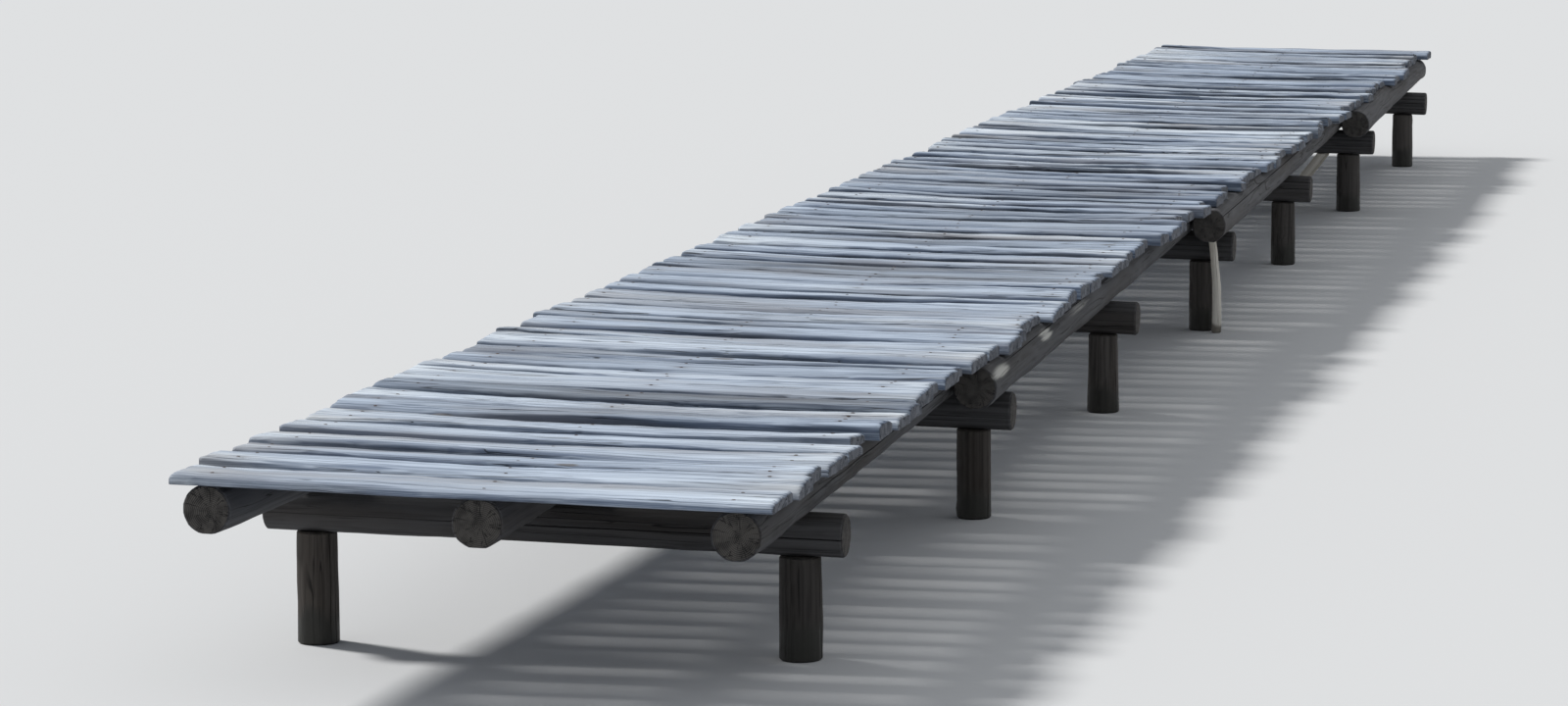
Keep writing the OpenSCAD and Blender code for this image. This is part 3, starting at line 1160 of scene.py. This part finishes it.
@dataclass
class Deck:
    """The cross boards and their nails, one piece of each for every deck node.

    At each joint the edge beyond it is raised and the edge before it lowered, so that the joint shows. The
    joints named as heavy have a larger step about one place across the deck.
    """

    frame: LeaningFrame
    nodes: list[bpy.types.Object]
    logs: dict[str, Stick]
    ceiling: float
    seed: int = 401
    even_step: tuple[float, float] = (-0.004, 0.007)
    even_far: float = 0.010
    raise_most: float = 0.008
    sink_most: float = 0.013
    heavy_step: tuple[float, float] = (0.017, 0.026)
    heavy_most: float = 0.012
    even_growth: tuple[float, float] = (-5.0, 1.0)
    heavy_growth: tuple[float, float] = (-5.0, 3.0)
    nail_sides: int = 8
    nail_radius: float = 0.0065
    nail_rise: float = 0.0016
    nail_foot: float = -0.0015
    nail_room: float = 0.0005
    nail_rows: tuple[float, float] = (0.27, 0.73)
    nail_play: tuple[float, float] = (0.022, 0.06)
    nail_margin: float = 0.025
    nail_tip: float = 0.08
    missing_nails: float = 0.08
    HEAVY = (
        Joint(-8.92, -0.35, 0.6), Joint(-8.12, 0.15, 0.9), Joint(-7.64, 0.10, 0.5), Joint(-6.42, 0.10, 0.6),
        Joint(-5.88, 0.00, 0.6, 0.45), Joint(-5.42, 0.35, 0.5), Joint(-4.63, -0.05, 0.9),
        Joint(-4.39, 0.65, 0.7, 0.40), Joint(-3.15, 0.15, 1.0), Joint(-2.85, 0.60, 0.3, 0.40),
        Joint(-2.14, 0.00, 0.6, 0.45), Joint(-1.39, -0.60, 0.4, 0.40), Joint(-1.14, 0.00, 0.6, 0.40),
        Joint(-0.14, 0.35, 0.8), Joint(0.60, 0.60, 0.4, 0.40), Joint(0.85, -0.05, 1.0),
        Joint(1.85, 0.00, 0.6, 0.40), Joint(2.61, -0.50, 0.3, 0.40), Joint(3.42, 0.00, 0.5, 0.45),
        Joint(4.37, 0.00, 1.0, 0.50), Joint(5.65, 0.50, 0.3, 0.40), Joint(5.86, 0.00, 0.7),
        Joint(7.17, 0.10, 0.9), Joint(7.38, -0.60, 0.3, 0.40), Joint(8.38, 0.40, 0.6),
    )

    def __post_init__(self) -> None:
        """Reads every board's block from the nodes, and settles the step at every joint."""
        self.blocks = {}
        for node in self.nodes:
            blocks = [Block.of(self.frame.inside(corners)) for corners in solids_of(node)]
            self.blocks[node.name] = sorted(blocks, key=lambda block: sum(block.near))
        row = sorted(sum(self.blocks.values(), []), key=lambda block: sum(block.near))
        self.numbers = {block: k for k, block in enumerate(row)}
        self.runs = {name: self.frame.inside(np.array([log.start, log.end]))
                     for name, log in self.logs.items()}
        places = np.array([(sum(a.far) + sum(b.near)) / 4 for a, b in zip(row, row[1:])])
        own = np.array([b.top - a.top for a, b in zip(row, row[1:])])
        wanted = np.random.default_rng(self.seed).uniform(*self.even_step, len(own))
        short = wanted + self.even_far * ramp(places, *self.even_growth) - own
        raised = (short / 2).clip(0, self.raise_most)
        self.even = raised + short.clip(-self.sink_most, 0)
        self.lowered = raised
        self.joints = {int(np.abs(places - joint.y).argmin()): joint for joint in self.HEAVY}
        left = own + self.even + raised
        self.heavy = {k: self._step(joint, left[k]) for k, joint in self.joints.items()}

    def _step(self, joint: Joint, own: float) -> float:
        """Half of what a heavy joint's step still needs.

        Args:
            joint: The joint. Its wanted step grows from the shore towards the far end.
            own: The step that it has.

        Returns:
            How far each of its two edges is moved.
        """
        first, last = self.heavy_step
        wanted = first + (last - first) * float(ramp(joint.y, *self.heavy_growth))
        return min(max(wanted - own, 0.0) / 2, self.heavy_most)

    def _seam(self, number: int, moves: Array) -> Seam:
        """The seam of one edge at a joint.

        Args:
            number: Number of the joint, counted from the shore.
            moves: The even steps of all joints on that side.

        Returns:
            The seam, with nothing to move at either end of the deck.
        """
        if not 0 <= number < len(moves):
            return Seam()
        return Seam(moves[number], self.heavy.get(number, 0.0), self.joints.get(number))

    def build(self, node: bpy.types.Object, finishes: Finishes) -> list[bpy.types.Object]:
        """Builds one node's boards and nails.

        A board that would pass the deck's ceiling is lowered by as much.

        Args:
            node: The deck node.
            finishes: The jetty's materials.

        Returns:
            The boards' piece and the nails' piece.
        """
        number = int(node.name.rsplit("_", 1)[1])
        shapes, heads = [], []
        for k, block in enumerate(self.blocks[node.name]):
            rng = np.random.default_rng([self.seed, number, k])
            place = self.numbers[block]
            board = Board(block, rng, self._seam(place - 1, self.even), self._seam(place, self.lowered))
            nails = self._nails_for(board, rng)
            shape = board.surface(self.frame, nails)
            over = shape.points[:, 2].max() + self.nail_rise + self.nail_room - self.ceiling
            if over > 0:
                board.sag = over
                nails[:, 2] -= over
                shape = board.surface(self.frame, nails)
            shapes.append(shape)
            heads += [self._head(nail, rng) for nail in nails if rng.random() > self.missing_nails]
        boards = finishes.dress(Surface.joined(shapes), f"boards_{number}", node, Slot.BOARD)
        return [boards, Surface.joined(heads).piece(f"nails_{number}", finishes.nail)]

    def _axis_x(self, line: str, y: float) -> float:
        """Where a line of stringers runs, at a place along the deck.

        Args:
            line: The line: left, middle or right.
            y: The place, in the leaning frame.

        Returns:
            Its place across, on the first of its logs that reaches there.
        """
        start, end = next(run for name, run in self.runs.items()
                          if f"_{line}_" in name and run[0, 1] < y < run[1, 1])
        return start[0] + (y - start[1]) / (end[1] - start[1]) * (end[0] - start[0])

    def _nails_for(self, board: Board, rng: np.random.Generator) -> Array:
        """Places two nails over each line of stringers.

        Args:
            board: The board.
            rng: Source of the random numbers.

        Returns:
            The places, in the leaning frame.
        """
        block = board.block
        aside, ahead = self.nail_play
        first, last = block.left + self.nail_margin, block.right - self.nail_margin
        found = []
        for line in ("left", "middle", "right"):
            axis_x = self._axis_x(line, (sum(block.near) + sum(block.far)) / 4)
            for row in self.nail_rows:
                x = np.clip(axis_x + rng.uniform(-aside, aside), first, last)
                s = np.array([(x - block.left) / board.length])
                t = np.array([row + rng.uniform(-ahead, ahead)])
                near, far = board.edges(s)
                found.append([x, (near + (far - near) * t)[0], board.top(s, t)[0]])
        return np.array(found)

    def _head(self, nail: Array, rng: np.random.Generator) -> Surface:
        """Builds one nail head: a low dome of three rings on a short rim, tipped a little.

        Args:
            nail: Its place in the leaning frame.
            rng: Source of the random numbers.

        Returns:
            The head, in the row frame.
        """
        sides = self.nail_sides
        angle = np.linspace(0, TURN, sides, endpoint=False)
        radius = self.nail_radius * rng.uniform(0.85, 1.1)
        rings = [(1.0, self.nail_foot), (1.0, 0.35 * self.nail_rise), (0.62, 0.85 * self.nail_rise)]
        points = [np.stack([radius * f * np.cos(angle), radius * f * np.sin(angle), np.full(sides, h)], -1)
                  for f, h in rings]
        local = np.concatenate(points + [[[0.0, 0.0, self.nail_rise], [0.0, 0.0, self.nail_foot]]])
        tip = self.nail_tip
        local[:, 2] += local[:, 0] * rng.uniform(-tip, tip) + local[:, 1] * rng.uniform(-tip, tip)
        j = np.arange(sides)
        following = (j + 1) % sides
        last = (len(rings) - 1) * sides
        top, foot = len(rings) * sides, len(rings) * sides + 1
        caps = np.concatenate([np.stack([j + last, following + last, np.full(sides, top)], -1),
                               np.stack([following, j, np.full(sides, foot)], -1)])
        values = {"tone": np.full(len(local), rng.random())}
        return Surface(self.frame.outside(local + nail), [tube_faces(len(rings), sides), caps], values)


@dataclass(frozen=True)
class LitPatch:
    """A pale place high on a log's right flank: a painted patch of sunlight."""

    y: float
    half_length: float
    strength: float
    height: float = 0.042
    half_height: float = 0.019


@dataclass(frozen=True)
class Cut:
    """A plane that cuts a pole, given by a point on it and its normal."""

    point: Array
    normal: Array

    def reach(self, places: Array, axis: Array) -> Array:
        """Distance along the axis from each place to the plane."""
        return (self.point - places) @ self.normal / (axis @ self.normal)


@dataclass
class Timber:
    """One round timber: a log or pole with taper, knots, drying checks and worn arrises, in its solid."""

    stick: Stick
    rng: np.random.Generator
    around: int = 36
    station_step: float = 0.06
    slim: float = 0.985
    taper: float = 0.05
    hollow: float = 0.05
    bow: float = 0.0
    knot_count: float = 1.3
    knot_height: float = 0.075
    check_count: int = 4
    check_half_width: float = 0.0022
    check_depth: float = 0.11
    arris: float = 0.006
    arris_dirt: float = 0.7
    end_dirt: float = 0.35
    bow_heading: float | None = None
    lit_patches: tuple[LitPatch, ...] = ()
    END_RINGS = (0.72, 0.4, 0.12)
    PITH = (0.004, -0.003)

    def __post_init__(self) -> None:
        """Draws everything that makes this timber unlike the next."""
        r = self.rng
        length = self.stick.length
        self.tone = float(r.beta(2.2, 2.2))
        self.offset = r.uniform(0, 60)
        self.checks = sorted(r.choice(self.around, self.check_count, replace=False))
        self.check_middle = r.uniform(0, length, self.check_count)
        self.check_half = length * r.uniform(0.3, 0.8, self.check_count)
        knots = max(int(length * self.knot_count + r.random()), 1)
        self.knots = np.stack([r.uniform(0, length, knots), r.uniform(0, TURN, knots),
                               r.uniform(0.018, 0.034, knots)], -1)

    def _angles(self) -> tuple[Array, Array]:
        """Lays out the columns round the timber, three close together at each check.
        """
        half = math.pi / self.around
        opening = min(self.check_half_width / self.stick.radius, half * 0.35)
        angles, owner = [], []
        for k, angle in enumerate(np.linspace(0, TURN, self.around, endpoint=False)):
            angles.append(angle)
            owner.append(-1)
            if k in self.checks:
                angles += [angle + half - opening, angle + half, angle + half + opening]
                owner += [-1, self.checks.index(k), -1]
        return np.array(angles), np.array(owner)

    def _radius(self, along: Array, angle: Array, owner: Array) -> Array:
        """Radius at places along and round the timber.

        It is the solid's own radius less a taper, less slow hollows, with a low mound at each knot and a
        groove at each check. It never passes the solid's radius.

        Args:
            along: Distance along the axis, as a column.
            angle: Angle of each column of points.

        Returns:
            The radius at every point of the grid.
        """
        rng = np.random.default_rng(int(self.offset * 1e4))
        full = self.stick.radius
        height = full * np.sin(angle)
        swell = 0.5 + 0.5 * waves(rng, 0.08, 0.5, along * 0.35, height)
        fine = waves(rng, 0.02, 0.08, along * 0.25, height * 2.0)
        radius = full * (self.slim - self.taper * along / self.stick.length)
        radius = radius - self.hollow * full * swell.clip(0, 1) + 0.0007 * fine
        for place, heading, size in self.knots:
            gap = np.abs((angle - heading + math.pi) % TURN - math.pi) * full
            radius = radius + self.knot_height * full * bell((along - place) / size, gap / (size * 0.8))
        radius = np.minimum(radius, full * 0.998)
        for k, (middle, half) in enumerate(zip(self.check_middle, self.check_half)):
            groove = self.check_depth * full * half_ellipse(along, middle, half)
            radius = radius - np.where(owner == k, groove, 0.0)
        return radius

    def _ends(self, grid: Array) -> tuple[list[Array], list[Array]]:
        """Closes the two ends of the grid by rings that shrink towards a middle point.

        Args:
            grid: Points of the tube, stations by columns.

        Returns:
            The new points, and faces that join them to each other and to the tube.
        """
        stations, around = grid.shape[:2]
        j = np.arange(around)
        rings, faces, total = [], [], stations * around
        for row, step in ((0, -1), (stations - 1, 1)):
            centre = grid[row].mean(axis=0)
            rings += [centre + (grid[row] - centre) * f for f in self.END_RINGS] + [centre[None]]
            ids = [j + row * around] + [j + total + k * around for k in range(len(self.END_RINGS))]
            hub = total + len(self.END_RINGS) * around
            for a, b in zip(ids[:-1], ids[1:]):
                faces.append(np.stack([a, np.roll(a, -1), np.roll(b, -1), b], -1)[:, ::step])
            faces.append(np.stack([ids[-1], np.roll(ids[-1], -1), np.full(around, hub)], -1)[:, ::step])
            total = hub + 1
        return rings, faces

    def surface(self, up: Array, foot: Cut | None = None, head: Cut | None = None) -> Surface:
        """Builds the timber.

        Each column of the grid runs from one end's plane to the other's, offset from the axis by its radius.
        A hewn log's upper and lower faces are the grid pressed flat at its half height.

        Args:
            up: Direction across the axis that faces up.
            foot: Plane that cuts the start, or None for a square cut.
            head: Plane that cuts the end, or None for a square cut.

        Returns:
            The timber, in the row frame.
        """
        stick = self.stick
        axis = (stick.end - stick.start) / stick.length
        across = np.cross(up, axis)
        across /= np.linalg.norm(across)
        rise = np.cross(axis, across)
        angle, owner = self._angles()
        count = max(int(stick.length / self.station_step), 6)
        margin = self.arris / stick.length
        share = np.concatenate([[0.0], np.linspace(margin, 1 - margin, count), [1.0]])[:, None]
        worn = ramp(np.minimum(share, 1 - share) * stick.length, self.arris, 0.0)
        radius = self._radius(share * stick.length, angle, owner) - self.arris * worn
        side, lift = radius * np.cos(angle), radius * np.sin(angle)
        heading = self.rng.uniform(0, TURN) if self.bow_heading is None else self.bow_heading
        bend = self.bow * np.sin(math.pi * share)
        side = side + bend * math.cos(heading)
        if stick.half_height is None:
            lift = lift + bend * math.sin(heading)
        else:
            limit = stick.half_height - 0.4 * self.arris * worn
            lift = lift.clip(-limit, limit)
        offset = side[..., None] * across + lift[..., None] * rise
        start = foot.reach(stick.start + offset[0], axis) if foot else 0.0
        end = stick.length + (head.reach(stick.end + offset[-1], axis) if head else 0.0)
        grid = stick.start + offset + (start + (end - start) * share)[..., None] * axis

        rings, faces = self._ends(grid)
        points = np.concatenate([grid.reshape(-1, 3)] + rings)
        at = points - stick.start
        marks = np.full(len(points), self.end_dirt)
        marks[: radius.size] = np.maximum(self.arris_dirt * worn, np.where(owner >= 0, 1.0, 0.0)).ravel()
        # Painted light: pale patches of sunlight high on the right flank.
        lit_spots = np.zeros(len(points))
        for lit_patch in self.lit_patches:
            along, above = points[:, 1] - lit_patch.y, at @ rise - lit_patch.height
            spot = bell(along / lit_patch.half_length, above / lit_patch.half_height)
            lit_spots = np.maximum(lit_spots, lit_patch.strength * spot * (at @ across < 0))
        grain = np.stack([at @ axis + self.offset, at @ across + self.PITH[0], at @ rise + self.PITH[1]], -1)
        values = {"grain": grain, "tone": np.full(len(points), self.tone), "edge": marks, "stain": lit_spots}
        return Surface(points, [tube_faces(*radius.shape)] + faces, values)


@dataclass
class Logs:
    """The stringers and the caps: long hewn logs that lie in the leaning frame."""

    frame: LeaningFrame
    sticks: dict[str, Stick]
    seed: int = 733
    check_count: int = 5
    BOWS = {Slot.STRINGER: 0.006, Slot.CAP: 0.0}
    # Painted light: three patches of sunlight on the right stringer's flank.
    LIT_PATCHES = {"stringer_right_2": (LitPatch(-6.06, 0.21, 1.4), LitPatch(-4.97, 0.16, 1.5), LitPatch(-4.10, 0.40, 0.8))}

    def build(self, node: bpy.types.Object, finishes: Finishes) -> list[bpy.types.Object]:
        """Builds one log.

        Args:
            node: The log's node.
            finishes: The jetty's materials.

        Returns:
            The piece that stands for the node.
        """
        slot = Slot.CAP if node.name.startswith("cap") else Slot.STRINGER
        rng = np.random.default_rng([self.seed, *node.name.encode()])
        timber = Timber(self.sticks[node.name], rng, bow=self.BOWS[slot], check_count=self.check_count,
                        lit_patches=self.LIT_PATCHES.get(node.name, ()))
        return [finishes.dress(timber.surface(self.frame.up), f"{node.name}_log", node, slot)]


@dataclass
class Poles:
    """The piles, the prop and the strut: round timbers on the water plane, cut to the logs above them."""

    frame: LeaningFrame
    seed: int = 977
    station_step: float = 0.03
    WATER = Cut(np.zeros(3), np.array([0.0, 0.0, 1.0]))
    AWAY = np.array([0.0, 1.0, 0.0])
    SHAPES = {"prop_pole": {"around": 20, "bow": 0.012, "bow_heading": 0.0, "taper": 0.25},
              "rake_strut": {"around": 24, "taper": 0.12}}

    def build(self, node: bpy.types.Object, finishes: Finishes) -> list[bpy.types.Object]:
        """Builds one pole.

        Args:
            node: The pole's node.
            finishes: The jetty's materials.

        Returns:
            The piece that stands for the node.
        """
        slot = Slot.PILE if node.name.startswith("pile") else Slot.POLE
        rng = np.random.default_rng([self.seed, *node.name.encode()])
        stick = Stick.of_pole(solids_of(node)[0])
        timber = Timber(stick, rng, station_step=self.station_step, **self.SHAPES.get(node.name, {}))
        surface = timber.surface(self.AWAY, self.WATER, Cut(stick.end, self.frame.up))
        return [finishes.dress(surface, f"{node.name}_timber", node, slot)]


@dataclass(frozen=True)
class Station:
    """The camera, at the photograph's angle: its place, heading from +Y, tilt, roll and lens."""

    place: Triple = (4.407, -24.36, 3.036)
    heading: float = 13.09
    down: float = 7.275
    roll: float = -0.44
    lens: float = 118.8
    clip_end: float = 1000.0

    def build(self) -> None:
        """Makes the scene's camera."""
        data = bpy.data.cameras.new("station")
        data.lens = self.lens
        data.clip_end = self.clip_end
        camera = bpy.data.objects.new("station", data)
        turn = (Matrix.Rotation(math.radians(self.heading), 4, "Z")
                @ Matrix.Rotation(math.radians(90.0 - self.down), 4, "X")
                @ Matrix.Rotation(math.radians(self.roll), 4, "Z"))
        camera.matrix_world = Matrix.Translation(Vector(self.place)) @ turn
        bpy.context.scene.collection.objects.link(camera)
        bpy.context.scene.camera = camera


@dataclass(frozen=True)
class Studio:
    """A pale floor on the water plane, one soft lamp from the left and an even sky."""

    floor_half: float = 400.0
    floor_colour: Colour = (0.78, 0.79, 0.80, 1.0)
    backdrop: Colour = (0.765, 0.775, 0.785, 1.0)
    lamp_strength: float = 2.9
    lamp_colour: Triple = (1.0, 0.985, 0.96)
    lamp_spread: float = 9.0
    lamp_height: float = 40.0
    lamp_heading: float = 24.0
    sky_strength: float = 0.38
    sky_colour: Colour = (0.93, 0.96, 1.0, 1.0)

    def build(self) -> None:
        """Makes the floor, the lamp and the sky."""
        self._floor()
        self._lamp()
        self._sky()

    def _floor(self) -> None:
        """The floor: one large flat square at the lowest level of the piles."""
        h = self.floor_half
        mesh = bpy.data.meshes.new("floor")
        mesh.from_pydata([(-h, -h, 0), (h, -h, 0), (h, h, 0), (-h, h, 0)], [], [(0, 1, 2, 3)])
        g = Graph(bpy.data.materials.new("pale_floor"))
        mesh.materials.append(g.close("BsdfPrincipled", {"Base Color": self.floor_colour, "Roughness": 1.0,
                                                         "Specular IOR Level": 0.0}))
        floor = bpy.data.objects.new("floor", mesh)
        bpy.context.scene.collection.objects.link(floor)
        floor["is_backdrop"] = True

    def _lamp(self) -> None:
        """A wide, distant lamp high on the left, a little beyond the jetty's middle."""
        data = bpy.data.lights.new("key", "SUN")
        data.energy = self.lamp_strength
        data.angle = math.radians(self.lamp_spread)
        data.color = self.lamp_colour
        lamp = bpy.data.objects.new("key", data)
        up, turn = math.radians(self.lamp_height), math.radians(self.lamp_heading)
        towards = Vector((-math.cos(up) * math.cos(turn), math.cos(up) * math.sin(turn), math.sin(up)))
        lamp.matrix_world = towards.to_track_quat("Z", "Y").to_matrix().to_4x4()
        bpy.context.scene.collection.objects.link(lamp)

    def _sky(self) -> None:
        """An even pale light from all round, and the backdrop that the camera and reflections see."""
        g = Graph(bpy.data.worlds.new("sky"))
        light = g.add("Background", {0: self.sky_colour, 1: self.sky_strength})
        seen = g.add("Background", {0: self.backdrop, 1: 1.0})
        path = g.add("LightPath", output="Is Camera Ray")
        shiny = path.output("Is Glossy Ray") + path.output("Is Transmission Ray")
        direct = g.math("ADD", path, shiny, clamp=True)
        bpy.context.scene.world = g.close("MixShader", {0: direct, 1: light, 2: seen})


def main() -> None:
    """Builds the jetty round its frame, then the studio and the camera."""
    logging.basicConfig(level=logging.INFO, format="%(name)s: %(message)s")
    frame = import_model()
    frame_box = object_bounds()
    nodes = frame["nodes"]
    bpy.context.scene.view_settings.view_transform = "Standard"

    finishes = Finishes()
    leaning = LeaningFrame.of_cap(nodes["cap_1"])
    sticks = {name: Stick.of_log(solids_of(node)[0], leaning) for name, node in nodes.items()
              if name.startswith(("stringer", "cap"))}
    decks = [node for name, node in nodes.items() if name.startswith("deck")]
    stringers = {name: stick for name, stick in sticks.items() if name.startswith("stringer")}
    deck = Deck(leaning, decks, stringers, frame_box[1].z)
    logs, poles = Logs(leaning, sticks), Poles(leaning)
    makers = {"deck": deck, "stringer": logs, "cap": logs, "pile": poles, "prop": poles, "rake": poles}

    pieces = []
    for name, node in sorted(nodes.items()):
        for piece in makers[name.split("_")[0]].build(node, finishes):
            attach(piece, BODY)
            mesh = piece.data
            LOG.info("%s: %d points, %d faces", piece.name, len(mesh.vertices), len(mesh.polygons))
            pieces.append(piece)
    LOG.info("%d pieces, %d faces", len(pieces), sum(len(p.data.polygons) for p in pieces))

    Studio().build()
    Station().build()


if __name__ == "__main__":
    main()
